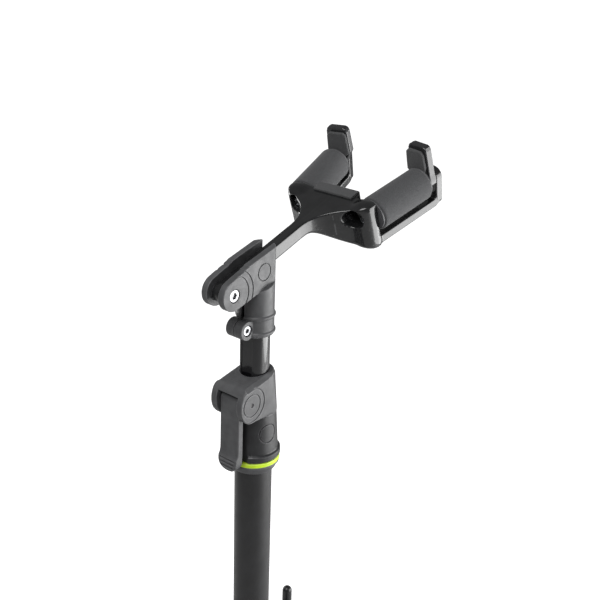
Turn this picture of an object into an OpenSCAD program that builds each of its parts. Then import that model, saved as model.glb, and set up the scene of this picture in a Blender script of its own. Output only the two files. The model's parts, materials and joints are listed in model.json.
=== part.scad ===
// Saxophone stand: tripod base, telescoping mast with a cam clamp, and a folding padded yoke.
// Millimetres. +Z is up, +X points to the yoke's open side, and the floor is z = 0.

/* [Pole] */
// Outside diameter of the lower tube
lower_tube_d = 25.4; // [25:0.1:26]
// Outside diameter of the upper tube
upper_tube_d = 19.5; // [19:0.1:20]
// Height of the yoke's fold pivot above the floor at rest
pivot_z = 600; // [560:5:680]

/* [Yoke] */
// Slope of the yoke above the horizontal
yoke_slope = 18.2; // [16:0.1:20]
// Outward splay of each roller
roller_splay = 9; // [6:0.5:10]
// Diameter of a foam roller
roller_d = 23.4; // [20:0.2:24]

/* [Base] */
// Slope of an opened leg below the horizontal
leg_slope = 35; // [30:1:42]
// Height of the leg pivots above the floor
leg_pivot_z = 168; // [150:2:190]

/* [Lower rest] */
// Height of the lower rest's collar
rest_z = 250; // [235:5:280]

/* [Hidden] */
$fn = 64;
// Radial clearance of a running fit
run = 0.06;
rl = lower_tube_d / 2;
ru = upper_tube_d / 2;
tube_wall = 1.5;

// Fold pivot and the head's cheeks
pivot_x = -29.3;
cheek_y = 9.43;
slot_y = 4.75;
cheek_r = 9.94;
cheek_slope = 15;
cheek_top = 12.17;
head_r = 12.2;
head_bottom = pivot_z - 35.3;
pivot_bolt_r = 3;

// Pinch boss on the head's sleeve
pinch_x = -14.2;
pinch_z = head_bottom + 6.4;
pinch_r = 6.3;
pinch_y = 6.8;

// Cam clamp
clamp_x = -17;
clamp_z = pivot_z - 78;
clamp_y = 13.6;
clamp_r = 13;
lever_y = 8.5;
flange_z = clamp_z - 46;

// Yoke, in its own frame: X along the stem from the pivot, Z square to the yoke's flat top
stem_y = 4.1;
stem_low = -4;
yoke_top = 5.6;
roller_s = 113.6;
roller_y = 29.3;
roller_h = -4.3;
axle_r = 3;
arm_y = 4.2;
arm_low = -22;
arm_top = -15.8;
upright_d0 = 56.2;
upright_d1 = 62.2;
inner_bend = 2.6;
upright_low = arm_top + inner_bend;
lug_r = 8.2;
foam_d0 = 1.8;
foam_d1 = 46.4;

// Legs
leg_pivot_r = 30;
leg_r = 8;
foot_centre_z = 7;
foot_r = 11;
leg_len = (leg_pivot_z - foot_centre_z) / sin(leg_slope);
leg_reach = leg_pivot_r + leg_len * cos(leg_slope);
leg_angles = [60, -60, 180];

// The row's origin is the middle of the stand's footprint, so the pole stands off it in X
yoke_reach = pivot_x + 177 * cos(yoke_slope);
pole_x = (leg_reach + 10.4 - yoke_reach) / 2;

// Moves a child from the pole's own frame to the row's frame
module on_pole() {
  translate([pole_x, 0, 0]) children();
}

// Moves a child from the yoke's frame to the pole's frame
module at_yoke() {
  translate([pivot_x, 0, pivot_z]) rotate([0, -yoke_slope, 0]) children();
}

// Moves a child from a roller's frame to the yoke's frame: X along the axle, Y outward
module at_roller(side) {
  mirror([0, side < 0 ? 1 : 0, 0])
    translate([roller_s, roller_y, roller_h])
      rotate([0, 0, roller_splay])
        children();
}

// A cylinder along X from x0 to x1
module along_x(x0, x1, r) {
  translate([x0, 0, 0]) rotate([0, 90, 0]) cylinder(h = x1 - x0, r = r);
}

// A cylinder along Y from y0 to y1
module along_y(y0, y1, r) {
  translate([0, y0, 0]) rotate([-90, 0, 0]) cylinder(h = y1 - y0, r = r);
}

// A profile drawn in X and Z, made half deep each way along Y
module slab_y(half) {
  rotate([90, 0, 0]) linear_extrude(height = 2 * half, center = true) children();
}

// ---------------------------------------------------------------- pole and clamp

module lower_tube() {
  color("#1b1c1e") on_pole()
    difference() {
      translate([0, 0, leg_pivot_z - 6]) cylinder(h = clamp_z - 28 - leg_pivot_z + 6, r = rl);
      translate([0, 0, leg_pivot_z - 7]) cylinder(h = clamp_z - leg_pivot_z, r = rl - tube_wall);
    }
}

// The tube's section: round, with an open channel facing -X
module mast_section() {
  channel_y = 5;
  channel_x = -7.4;
  bore_r = 7.6;
  difference() {
    circle(r = ru);
    translate([-20, -channel_y]) square([20 + channel_x, 2 * channel_y]);
    intersection() {
      circle(r = bore_r);
      translate([-5.9, -10]) square([20, 20]);
    }
  }
}

mast_low = pivot_z - 318;
mast_top = pivot_z - 4;

module upper_tube() {
  color("#101113") on_pole()
    translate([0, 0, mast_low]) linear_extrude(height = mast_top - mast_low) mast_section();
}

module mast_bush() {
  bush_h = 20;
  color("#2a2b2d") on_pole()
    translate([0, 0, mast_low])
      difference() {
        cylinder(h = bush_h, r = rl - tube_wall - run);
        translate([0, 0, -1]) cylinder(h = bush_h + 2, r = ru + run);
      }
}

// Side outline of the clamp's cheek block, in X and Z about the lever's pivot
module clamp_outline() {
  union() {
    circle(r = clamp_r);
    polygon([[-0.5, clamp_r], [18.6, 16.6], [29.6, 14], [29.6, -13], [8, -13], [0, -clamp_r]]);
  }
}

// The hollow that the lever's hub and plate turn in
module lever_hollow() {
  hub = 5.3;
  sweep = 6.9;
  slab_y(lever_y + 0.3) {
    circle(r = hub);
    intersection() {
      circle(r = sweep);
      translate([-20, -20]) square([26, 40]);
    }
    translate([-20, -20]) square([20, 20 + sweep]);
    translate([-20, -60]) square([22.2, 60]);
  }
}

module clamp_rings() {
  groove = 0.6;
  for (r = [7.7, 11.7]) {
    difference() {
      cylinder(h = groove + 1, r = r + 0.35);
      translate([0, 0, -1]) cylinder(h = groove + 3, r = r - 0.35);
    }
  }
  cylinder(h = groove + 1, r = 1.5);
}

module clamp_body() {
  cone_low = flange_z + 5;
  cone_mid = clamp_z - 8;
  cone_top = clamp_z + 17;
  chamfer = 2.6;
  color("#4a4b4d") on_pole()
    difference() {
      union() {
        difference() {
          union() {
            translate([0, 0, cone_low]) cylinder(h = cone_mid - cone_low, r1 = 16.3, r2 = 14.7);
            translate([0, 0, cone_mid]) cylinder(h = cone_top - cone_mid, r1 = 14.7, r2 = 12.7);
          }
          for (s = [-1, 1])
            translate([-30, s > 0 ? clamp_y : -clamp_y - 20, clamp_z - 13]) cube([60, 20, 60]);
        }
        translate([0, 0, flange_z + 1.2]) cylinder(h = 3.8, r = 18);
        translate([0, 0, flange_z + 5]) cylinder(h = 1.2, r1 = 18, r2 = 16.6);
        translate([0, 0, flange_z]) cylinder(h = 1.2, r = 16.8);
        intersection() {
          translate([clamp_x, 0, clamp_z]) slab_y(clamp_y) clamp_outline();
          union() {
            translate([-60, -30, clamp_z - 40]) cube([60, 60, 80]);
            translate([0, 0, clamp_z - 30]) cylinder(h = 70, r1 = 16.2, r2 = 11.9);
          }
        }
      }
      for (s = [-1, 1])
        translate([clamp_x, s * clamp_y, clamp_z + clamp_r + 0.4])
          rotate([s * 45, 0, 0])
            rotate([0, -9.8, 0])
              translate([-30, -chamfer / 2, -chamfer / 2])
                cube([80, chamfer, chamfer]);
      translate([clamp_x, 0, clamp_z]) lever_hollow();
      for (s = [-1, 1])
        translate([clamp_x, s * (clamp_y - 0.6), clamp_z]) rotate([s > 0 ? -90 : 90, 0, 0]) clamp_rings();
      translate([clamp_x, 0, clamp_z]) along_y(-clamp_y + 1.4, clamp_y - 1.4, 3 + 0.02);
      translate([0, 0, clamp_z - 60]) cylinder(h = 110, r = ru + 0.08);
      translate([0, 0, flange_z - 1]) cylinder(h = clamp_z - 28 + 0.1 - flange_z + 1, r = rl + 0.04);
      translate([-12.3, -6.4, clamp_z - 7.6]) cube([5, 12.8, 15.2]);
    }
  color("#4a4b4d") on_pole() clamp_key();
}

// The key in the clamp's bore that runs in the mast's channel
module clamp_key() {
  translate([0, 0, clamp_z - 26])
    intersection() {
      translate([-11, -4.8, 0]) cube([3.3, 9.6, 12]);
      cylinder(h = 12, r = 10.6);
    }
}

module clamp_pin() {
  color("#b9bcc0") on_pole()
    translate([clamp_x, 0, clamp_z]) along_y(-clamp_y + 1.5, clamp_y - 1.5, 3);
}

// The curved shoe that the lever's cam presses against the mast
module clamp_shoe() {
  shoe_y = 6.2;
  shoe_h = 14.6;
  color("#7d8084") on_pole()
    translate([0, 0, clamp_z - shoe_h / 2])
      difference() {
        translate([-11.7, -shoe_y, 0]) cube([3.9, 2 * shoe_y, shoe_h]);
        translate([0, 0, -1]) cylinder(h = shoe_h + 2, r = ru + 0.09);
      }
}

module accent_ring() {
  color("#d8f02a") on_pole()
    translate([0, 0, flange_z - 3.2])
      difference() {
        cylinder(h = 3.15, r = 17.7);
        translate([0, 0, -1]) cylinder(h = 6, r = rl + 0.05);
      }
}

module collar_ring() {
  h = 6.2;
  color("#5a5b5d") on_pole()
    translate([0, 0, flange_z - 3.25 - h])
      difference() {
        union() {
          translate([0, 0, h - 1.4]) cylinder(h = 1.4, r = 17.4);
          cylinder(h = h - 1.4, r1 = 14.7, r2 = 17.2);
        }
        translate([0, 0, -1]) cylinder(h = h + 2, r = rl + 0.05);
      }
}

// Side outline of the lever, in X and Z about its pivot: hub, plate and grip
module lever_outline() {
  hub = 4.9;
  face = -6.3;
  back = -1.9;
  polygon(concat(
    [for (a = [110:-10:-110]) hub * [cos(a), sin(a)]],
    [
      [back, -6], [back - 0.4, -12], [back - 0.6, -37], [back - 1.6, -50.5], [-8.2, -50.5], [-8.9, -47],
      [-8.7, -40], [face - 0.6, -36], [face - 0.2, -12], [face, 0], [-5.9, 2.4], [-4.5, 4.1]
    ]
  ));
}

// Front outline of the lever, in Y and Z about its pivot: straight sides and a round end
module lever_front(grip_z) {
  polygon(concat(
    [[lever_y, 20], [-lever_y, 20]],
    [for (a = [180:10:360]) [lever_y * cos(a), grip_z + lever_y * sin(a)]]
  ));
}

module clamp_lever() {
  grip_z = -41.8;
  rib = 0.7;
  color("#4a4b4d") on_pole()
    translate([clamp_x, 0, clamp_z])
      difference() {
        intersection() {
          slab_y(lever_y + 1) lever_outline();
          translate([-30, 0, 0]) rotate([90, 0, 90]) linear_extrude(height = 60) lever_front(grip_z);
        }
        along_y(-20, 20, 3 + run);
        for (i = [0:2])
          translate([-10, -6 + i * 0.5, -41.5 - i * 2.8]) cube([1 + rib, 12 - i, 1.3]);
      }
}

// ---------------------------------------------------------------- head on the mast

// Side outline of the cheeks, about the fold pivot and along their own top edge
module cheek_outline() {
  step_a = 12.3;
  step_b = 16.4;
  union() {
    circle(r = cheek_r);
    polygon([
      [0, -cheek_r], [60, -cheek_r], [60, cheek_top], [step_b, cheek_top], [step_b - 0.3, cheek_top - 0.9],
      [step_a - 4, cheek_top - 0.9], [step_a - 4.3, cheek_r + 0.6], [1, cheek_r + 0.6], [0, cheek_r]
    ]);
  }
}

// Everything below the sloping shoulders, where the round sleeve ends and the flat cheeks begin
module below_shoulder() {
  shoulder = 0.8 - cheek_r;
  translate([pivot_x, 0, pivot_z])
    rotate([0, -cheek_slope, 0])
      translate([-60, -60, shoulder - 200])
        cube([200, 120, 200]);
}

module head_blank() {
  bead = 0.9;
  intersection() {
    translate([0, 0, head_bottom]) cylinder(h = 90, r = head_r);
    below_shoulder();
  }
  for (z = [2.2, 13.2])
    translate([0, 0, head_bottom + z])
      rotate_extrude()
        translate([head_r - 0.5, 0]) circle(r = bead + 0.5);
  intersection() {
    translate([pivot_x, 0, pivot_z]) rotate([0, -cheek_slope, 0]) slab_y(cheek_y) cheek_outline();
    union() {
      translate([-60, -30, 0]) cube([60, 60, pivot_z + 60]);
      translate([0, 0, head_bottom]) cylinder(h = 90, r = head_r);
    }
  }
  translate([pinch_x, 0, pinch_z]) along_y(-pinch_y, pinch_y, pinch_r);
}

// Raised arcs about the pivot on a cheek's outer face, cut as two grooves
module cheek_grooves() {
  for (r = [12.3, 16.4])
    difference() {
      cylinder(h = 2, r = r + 0.35);
      translate([0, 0, -1]) cylinder(h = 4, r = r - 0.35);
    }
}

module head_body() {
  floor_slope = yoke_slope;
  groove = 0.6;
  emblem_x = -2.6;
  emblem_z = pivot_z + 8.5;
  emblem_r = 6;
  color("#4a4b4d") on_pole()
    difference() {
      head_blank();
      translate([pivot_x, 0, pivot_z])
        rotate([0, -floor_slope, 0])
          translate([0, -slot_y, stem_low - 0.05])
            cube([90, 2 * slot_y, 60]);
      translate([pivot_x - 20, -slot_y, pivot_z - 11]) cube([20 - pivot_x - head_r - 0.3, 2 * slot_y, 60]);
      translate([0, 0, head_bottom - 5]) cylinder(h = mast_top + 0.2 - head_bottom + 5, r = ru + 0.05);
      translate([-40, -0.8, head_bottom - 5]) cube([40, 1.6, 31]);
      translate([pinch_x, 0, pinch_z]) along_y(-20, 20, 2.05);
      translate([pinch_x, 0, pinch_z]) along_y(-20, -pinch_y + 3, 3.7);
      translate([pinch_x, 0, pinch_z]) along_y(pinch_y - 2.6, 20, 3.9);
      translate([pivot_x, 0, pivot_z]) along_y(-20, 20, pivot_bolt_r + 0.03);
      translate([pivot_x, 0, pivot_z]) along_y(-20, -cheek_y + 2.4, 4.4);
      translate([pivot_x, 0, pivot_z]) along_y(cheek_y - 2.6, 20, 5.4);
      for (s = [-1, 1])
        intersection() {
          translate([pivot_x, s * (cheek_y - groove), pivot_z]) rotate([s > 0 ? -90 : 90, 0, 0]) cheek_grooves();
          translate([pivot_x + 2, -20, pivot_z - 30]) cube([40, 40, 60]);
        }
      for (s = [-1, 1])
        translate([emblem_x, s * (cheek_y - groove), emblem_z])
          rotate([s > 0 ? -90 : 90, 0, 0])
            difference() {
              cylinder(h = 2, r = emblem_r);
              translate([0, 0, -1]) cylinder(h = 4, r = emblem_r - 0.7);
            }
    }
}

module pinch_screw() {
  color("#c9ccd0") on_pole()
    translate([pinch_x, 0, pinch_z])
      difference() {
        union() {
          along_y(-pinch_y + 2.9, pinch_y - 0.4, 2);
          along_y(-pinch_y + 0.7, -pinch_y + 2.96, 3.4);
        }
        along_y(-pinch_y - 1, -pinch_y + 2, 1.6);
      }
}

module pinch_nut() {
  color("#c9ccd0") on_pole()
    translate([pinch_x, 0, pinch_z])
      difference() {
        along_y(pinch_y - 2.58, pinch_y - 0.5, 3.5);
        along_y(-20, 20, 2.03);
      }
}

module pivot_bolt() {
  color("#c9ccd0") on_pole()
    translate([pivot_x, 0, pivot_z])
      difference() {
        union() {
          along_y(-cheek_y + 2.3, cheek_y - 0.6, pivot_bolt_r);
          along_y(-cheek_y + 0.4, -cheek_y + 2.36, 4.1);
        }
        along_y(-cheek_y - 1, -cheek_y + 1.6, 1.8);
      }
}

module pivot_nut() {
  color("#c9ccd0") on_pole()
    translate([pivot_x, 0, pivot_z])
      difference() {
        along_y(cheek_y - 2.58, cheek_y - 0.7, 5);
        along_y(-20, 20, pivot_bolt_r + 0.03);
      }
}

module pivot_washers() {
  color("#2a2b2d") on_pole()
    for (s = [-1, 1])
      translate([pivot_x, s * (stem_y + slot_y) / 2, pivot_z])
        difference() {
          along_y(-0.25, 0.25, 5.6);
          along_y(-2, 2, pivot_bolt_r + 0.1);
        }
}

// ---------------------------------------------------------------- yoke

// Half of the casting's plan outline, from the stem out to the front edge
half_plan = [
  [0, stem_y], [72, stem_y], [77, 4.6], [82, 6], [87, 8.6], [91, 11.8], [95, 16], [98.5, 21], [101, 26.5],
  [103, 30.6], [106, 33.2], [109.5, 34.2], [112.7, 34.6], [114.4, 24.2], [115.6, 17.4], [118.6, 17.2]
];

function mirrored(points) = [for (i = [len(points) - 1:-1:0]) [points[i][0], -points[i][1]]];

module plan_outline() {
  polygon(concat(half_plan, mirrored(half_plan)));
}

half_hollow = [[90, 2.5], [93, 7], [97, 13], [100, 18], [102.5, 21.5], [110.6, 21.5], [113, 16.5], [115, 14]];

module yoke_side() {
  polygon([
    [0, stem_low], [78, stem_low], [85, -5.6], [91, -9.5], [96, -14.5], [101, -19.5], [106, -23.6],
    [110, -25.6], [114, arm_low + roller_h], [125, arm_low + roller_h], [125, yoke_top], [0, yoke_top]
  ]);
}

// The arm below a roller, with the bend up to its far end
module arm_side() {
  bend = 8;
  outer_c = [upright_d1 - bend, arm_low + bend];
  inner_c = [upright_d0 - inner_bend, arm_top + inner_bend];
  polygon(concat(
    [[-4, arm_top], [-4, arm_low]],
    [for (a = [-90:10:0]) outer_c + bend * [cos(a), sin(a)]],
    [[upright_d1, upright_low], [upright_d0, upright_low]],
    [for (a = [0:-15:-90]) inner_c + inner_bend * [cos(a), sin(a)]]
  ));
}

// The upright at an arm's far end, in Y and Z about its axle: it widens to meet the axle's lug
module upright_front() {
  touch = atan2(upright_low, arm_y) + acos(lug_r / norm([arm_y, upright_low]));
  x = lug_r * cos(touch);
  y = lug_r * sin(touch);
  polygon([[-arm_y, upright_low - 0.5], [arm_y, upright_low - 0.5], [arm_y, upright_low], [x, y], [-x, y],
    [-arm_y, upright_low]]);
}

module yoke_casting() {
  pocket_r = 7;
  pocket_up = 2.5;
  wall_d = -4;
  knuckle_r = 6.4;
  color("#26272a") on_pole() at_yoke()
    difference() {
      union() {
        along_y(-stem_y, stem_y, knuckle_r);
        intersection() {
          translate([0, 0, -30]) linear_extrude(height = 40) plan_outline();
          slab_y(60) yoke_side();
        }
        for (s = [-1, 1])
          at_roller(s) {
            slab_y(arm_y) arm_side();
            translate([upright_d0, 0, 0])
              rotate([90, 0, 90])
                linear_extrude(height = upright_d1 - upright_d0)
                  upright_front();
            along_x(upright_d0, upright_d1, lug_r);
          }
      }
      translate([0, 0, -40])
        linear_extrude(height = 40 + yoke_top - 4.4) polygon(concat(half_hollow, mirrored(half_hollow)));
      translate([96, -18, -60]) cube([40, 36, 51]);
      for (s = [-1, 1])
        at_roller(s) {
          translate([0, 0, pocket_up]) along_x(-60, wall_d, pocket_r);
          along_x(-10, upright_d1 + 5, axle_r + 0.03);
        }
      along_y(-20, 20, pivot_bolt_r + run);
    }
}

module yoke_strip() {
  gap = 0.1;
  color("#3a3b3d") on_pole() at_yoke()
    slab_y(16.6)
      polygon([
        [110.4, yoke_top + gap], [110.4, 8], [111, 8.6], [120.2, 8.6], [121.4, 7.4], [121.4, 0.5],
        [118.6 + gap, 0.5], [118.6 + gap, yoke_top + gap]
      ]);
}

module axle(side) {
  color("#c9ccd0") on_pole() at_yoke() at_roller(side)
    difference() {
      union() {
        along_x(-4.04, upright_d1 - 0.4, axle_r);
        along_x(-6.9, -4.04, 4.4);
      }
      along_x(-8, -5.2, 2);
    }
}

module roller_core(side) {
  color("#1d1e20") on_pole() at_yoke() at_roller(side)
    difference() {
      union() {
        along_x(0.5, 47.3, 7.6);
        along_x(0.5, 1.5, 10.6);
        along_x(46.7, 47.3, 10.6);
      }
      along_x(-1, 50, axle_r + run);
    }
}

module roller_foam(side) {
  color("#3d3e40") on_pole() at_yoke() at_roller(side)
    difference() {
      along_x(foam_d0, foam_d1, roller_d / 2);
      along_x(foam_d0 - 1, foam_d1 + 1, 7.9);
    }
}

// Outline of an end tab, in Y (outward) and Z about its axle
module tab_outline() {
  polygon([
    [5.4, -2], [5.2, 8], [4.4, 21.5], [3.4, 24.4], [1, 25.8], [-6.6, 25.8], [-9.4, 24.2], [-10.6, 21],
    [-11.2, 7.5], [-6.2, -2.6]
  ]);
}

module tab(side) {
  color("#2b2c2e") on_pole() at_yoke() at_roller(side)
    difference() {
      union() {
        translate([50.2, 0, 0]) rotate([90, 0, 90]) linear_extrude(height = 5.6) tab_outline();
        along_x(50.2, 55.8, 6.6);
      }
      along_x(40, 70, axle_r + run);
    }
}

module tab_pad(side) {
  color("#353638") on_pole() at_yoke() at_roller(side)
    difference() {
      translate([47.7, 0, 0])
        rotate([90, 0, 90])
          linear_extrude(height = 2.45)
            polygon([[3, 6], [2.4, 21.4], [1.2, 22.6], [-8.8, 22.6], [-10.4, 21], [-11, 7.4], [-7, 5]]);
      along_x(40, 70, 4.6);
    }
}

// ---------------------------------------------------------------- base

module hub_arm() {
  ear = 5;
  half_gap = 6.3;
  for (s = [-1, 1])
    translate([0, s * (half_gap + ear / 2), 0]) {
      translate([leg_pivot_r, 0, leg_pivot_z]) along_y(-ear / 2, ear / 2, 8.5);
      translate([10, -ear / 2, leg_pivot_z - 8.5]) cube([leg_pivot_r - 10, ear, 17]);
    }
}

module leg_hub() {
  hub_r = 20;
  color("#3a3b3d") on_pole()
    difference() {
      union() {
        translate([0, 0, leg_pivot_z - 10]) cylinder(h = 32, r = hub_r);
        translate([0, 0, leg_pivot_z + 22]) cylinder(h = 4, r1 = hub_r, r2 = 16);
        for (a = leg_angles) rotate([0, 0, a]) hub_arm();
      }
      translate([0, 0, leg_pivot_z - 6 - 0.02]) cylinder(h = 60, r = rl + 0.04);
      translate([0, 0, leg_pivot_z - 20]) cylinder(h = 30, r = 8.05);
      for (a = leg_angles)
        rotate([0, 0, a]) translate([leg_pivot_r, 0, leg_pivot_z]) along_y(-14, 14, 3.03);
    }
}

module hub_pins() {
  color("#c9ccd0") on_pole()
    for (a = leg_angles)
      rotate([0, 0, a])
        translate([leg_pivot_r, 0, leg_pivot_z]) {
          along_y(-11.4, 11.4, 3);
          along_y(-13.2, -11.4, 4.8);
          along_y(11.4, 13.2, 4.8);
        }
}

module hub_plug() {
  color("#1d1e20") on_pole()
    union() {
      translate([0, 0, leg_pivot_z - 10 - 3]) cylinder(h = 2.95, r = 14);
      translate([0, 0, leg_pivot_z - 10.1]) cylinder(h = 3.6, r = 8);
    }
}

// Moves a child from a leg's frame to the pole's frame: X outward along the leg from its pivot
module at_leg(i) {
  rotate([0, 0, leg_angles[i]])
    translate([leg_pivot_r, 0, leg_pivot_z])
      rotate([0, leg_slope, 0])
        children();
}

module leg_tube(i) {
  color("#1b1c1e") on_pole() at_leg(i)
    difference() {
      along_x(24, leg_len - 8, leg_r);
      along_x(23, leg_len - 7, leg_r - tube_wall);
    }
}

module leg_knuckle(i) {
  color("#3a3b3d") on_pole() at_leg(i)
    difference() {
      union() {
        along_y(-6, 6, 8.2);
        translate([0, -6, -6.5]) cube([16, 12, 13]);
        along_x(12, 23.9, 9.4);
        along_x(23.8, 44, leg_r - tube_wall - 0.05);
      }
      along_y(-20, 20, 3 + run);
    }
}

// Rubber boot, cut flat where it meets the floor
module foot(i) {
  color("#232426") on_pole()
    intersection() {
      at_leg(i)
        difference() {
          union() {
            along_x(leg_len - 34, leg_len, 10.4);
            translate([leg_len, 0, 0]) sphere(r = foot_r);
          }
          along_x(leg_len - 36, leg_len - 7.9, leg_r + 0.05);
        }
      translate([-600, -600, 0]) cube([1200, 1200, 400]);
    }
}

module foot_ring(i) {
  color("#d8f02a") on_pole() at_leg(i)
    difference() {
      along_x(leg_len - 38, leg_len - 34.1, 10);
      along_x(leg_len - 40, leg_len - 30, leg_r + 0.05);
    }
}

// ---------------------------------------------------------------- lower rest

rest_h = 26;
fork_root_x = 20;
fork_root_y = 9;
fork_r = 4;
fork_spread = 27;
fork_len = 92;

module at_fork_arm(side) {
  mirror([0, side < 0 ? 1 : 0, 0])
    translate([fork_root_x, fork_root_y, rest_z])
      rotate([0, 0, fork_spread])
        children();
}

module rest_collar() {
  color("#3a3b3d") on_pole()
    difference() {
      union() {
        translate([0, 0, rest_z - rest_h / 2]) cylinder(h = rest_h, r = 18);
        translate([8, -15, rest_z - 9]) cube([16, 30, 18]);
        translate([0, 0, rest_z]) along_x(-26, -12, 8);
      }
      translate([0, 0, rest_z - 30]) cylinder(h = 60, r = rl + 0.08);
      translate([0, 0, rest_z]) along_x(-40, 0, 3 + run);
      for (s = [-1, 1]) at_fork_arm(s) along_x(-4, 40, fork_r + 0.04);
    }
}

module rest_fork() {
  tip_h = 26;
  color("#1b1c1e") on_pole()
    for (s = [-1, 1])
      at_fork_arm(s) {
        along_x(-3.5, fork_len, fork_r);
        translate([fork_len, 0, 0]) sphere(r = fork_r);
        translate([fork_len, 0, 0]) cylinder(h = tip_h, r = fork_r);
        translate([fork_len, 0, tip_h]) sphere(r = fork_r);
      }
}

module rest_sleeve(side) {
  color("#3d3e40") on_pole() at_fork_arm(side)
    difference() {
      along_x(12, fork_len - 8, 9.5);
      along_x(10, fork_len - 6, fork_r + 0.3);
    }
}

module rest_knob() {
  lobes = 6;
  color("#1d1e20") on_pole()
    translate([0, 0, rest_z])
      difference() {
        union() {
          along_x(-44, -30, 11);
          along_x(-31, -26.6, 7);
          for (a = [0:360 / lobes:359])
            rotate([a + 5, 0, 0]) translate([0, 0, 9.8]) along_x(-43.5, -30.5, 3.6);
        }
        along_x(-41, -20, 3.03);
      }
}

module rest_stud() {
  color("#c9ccd0") on_pole()
    translate([0, 0, rest_z]) along_x(-41, -rl - 0.35, 3);
}

lower_tube();
clamp_body();
clamp_pin();
clamp_shoe();
accent_ring();
collar_ring();
leg_hub();
hub_pins();
hub_plug();
clamp_lever();
upper_tube();
mast_bush();
head_body();
pinch_screw();
pinch_nut();
pivot_bolt();
pivot_nut();
pivot_washers();
yoke_casting();
yoke_strip();
axle(1);  // axle_left
axle(-1);  // axle_right
roller_core(1);  // roller_core_left
roller_core(-1);  // roller_core_right
roller_foam(1);  // roller_foam_left
roller_foam(-1);  // roller_foam_right
tab(1);  // tab_left
tab(-1);  // tab_right
tab_pad(1);  // tab_pad_left
tab_pad(-1);  // tab_pad_right
leg_tube(0);  // leg_tube_left
leg_tube(1);  // leg_tube_right
leg_tube(2);  // leg_tube_rear
leg_knuckle(0);  // leg_knuckle_left
leg_knuckle(1);  // leg_knuckle_right
leg_knuckle(2);  // leg_knuckle_rear
foot(0);  // foot_left
foot(1);  // foot_right
foot(2);  // foot_rear
foot_ring(0);  // foot_ring_left
foot_ring(1);  // foot_ring_right
foot_ring(2);  // foot_ring_rear
rest_collar();
rest_fork();
rest_sleeve(1);  // rest_sleeve_left
rest_sleeve(-1);  // rest_sleeve_right
rest_knob();
rest_stud();
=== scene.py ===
"""Looks for the saxophone stand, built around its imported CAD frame.

Shapes are written as signed distances in millimetres, in the pole's own frame: the pole's axis is
X = Y = 0, and Z is the height above the floor. Each becomes a mesh in metres in the shared frame.
"""
import json
import math

import bmesh
import bpy
import numpy as np
from mathutils import Matrix, Vector


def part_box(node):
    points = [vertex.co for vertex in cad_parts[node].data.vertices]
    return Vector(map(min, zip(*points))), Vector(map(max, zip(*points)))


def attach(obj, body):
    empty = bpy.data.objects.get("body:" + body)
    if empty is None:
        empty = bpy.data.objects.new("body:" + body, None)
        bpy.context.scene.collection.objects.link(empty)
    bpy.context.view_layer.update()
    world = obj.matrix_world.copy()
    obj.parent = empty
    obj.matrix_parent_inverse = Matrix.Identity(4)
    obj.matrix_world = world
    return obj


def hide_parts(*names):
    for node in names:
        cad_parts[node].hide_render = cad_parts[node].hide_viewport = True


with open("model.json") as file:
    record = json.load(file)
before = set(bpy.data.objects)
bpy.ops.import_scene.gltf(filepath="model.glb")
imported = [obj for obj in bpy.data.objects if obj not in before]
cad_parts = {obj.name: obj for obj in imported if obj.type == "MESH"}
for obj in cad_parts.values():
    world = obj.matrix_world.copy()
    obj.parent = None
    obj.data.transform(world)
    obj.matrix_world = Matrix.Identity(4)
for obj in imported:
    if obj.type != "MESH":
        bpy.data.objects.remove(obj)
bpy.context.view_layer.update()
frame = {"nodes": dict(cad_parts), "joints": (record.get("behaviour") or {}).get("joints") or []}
nodes = frame["nodes"]
joints = {j["name"]: j for j in frame["joints"]}

MM = 0.001


def box_mm(node):
    """A CAD node's corners, in millimetres in the shared frame."""
    low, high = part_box(node)
    return np.array(low) / MM, np.array(high) / MM


def joint_place(name):
    """A joint's point, in millimetres in the pole's frame."""
    return np.array(joints[name]["pos_m"]) / MM - pole


tube_low, tube_high = box_mm("lower_tube")
pole = np.array([(tube_low[0] + tube_high[0]) / 2, 0, 0])
pivot = joint_place("yoke_fold")
lever_pivot = joint_place("clamp_lever")
head_bottom = box_mm("head_body")[0][2]
flange_bottom = box_mm("clamp_body")[0][2]

# The yoke's slope is the direction of its stem; a roller's axle gives its splay
yoke_slope = math.radians(18.2)
roller_s, roller_y, roller_h = 113.6, 29.3, -4.3
roller_splay = math.radians(9)

# ------------------------------------------------------------------ distances


def length(q):
    return np.sqrt((q * q).sum(-1))


def blend_union(a, b, k):
    """The union of two shapes, with a fillet about k wide where they meet."""
    h = np.clip(0.5 + 0.5 * (b - a) / k, 0, 1)
    return b * (1 - h) + a * h - k * h * (1 - h)


def cut(a, b, k=0.4):
    """Shape a without shape b, with its new edges rounded by about k."""
    return -blend_union(-a, b, k)


def common(a, b, k=0.4):
    """What both shapes hold, with its new edges rounded by about k."""
    return -blend_union(-a, -b, k)


def polygon(u, v, points):
    """Signed distance to a closed outline in a plane."""
    p = np.stack([u, v], -1).astype(np.float32)
    pts = np.array(points, np.float32)
    best = np.full(len(p), 1e9, np.float32)
    inside = np.zeros(len(p), bool)
    for a, b in zip(pts, np.roll(pts, -1, 0)):
        e = b - a
        w = p - a
        t = np.clip((w @ e) / max(float(e @ e), 1e-9), 0, 1)
        d = w - t[:, None] * e
        best = np.minimum(best, (d * d).sum(-1))
        crosses = (a[1] > p[:, 1]) != (b[1] > p[:, 1])
        if e[1] != 0:
            inside ^= crosses & (p[:, 0] < a[0] + e[0] * (p[:, 1] - a[1]) / e[1])
    return np.where(inside, -1, 1) * np.sqrt(best)


def slab(flat, w, half, edge=0.5):
    """A flat outline's distance, made solid to half each way along w, with rounded edges."""
    a = flat + edge
    b = np.abs(w) - half + edge
    return np.hypot(np.maximum(a, 0), np.maximum(b, 0)) + np.minimum(np.maximum(a, b), 0) - edge


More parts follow.
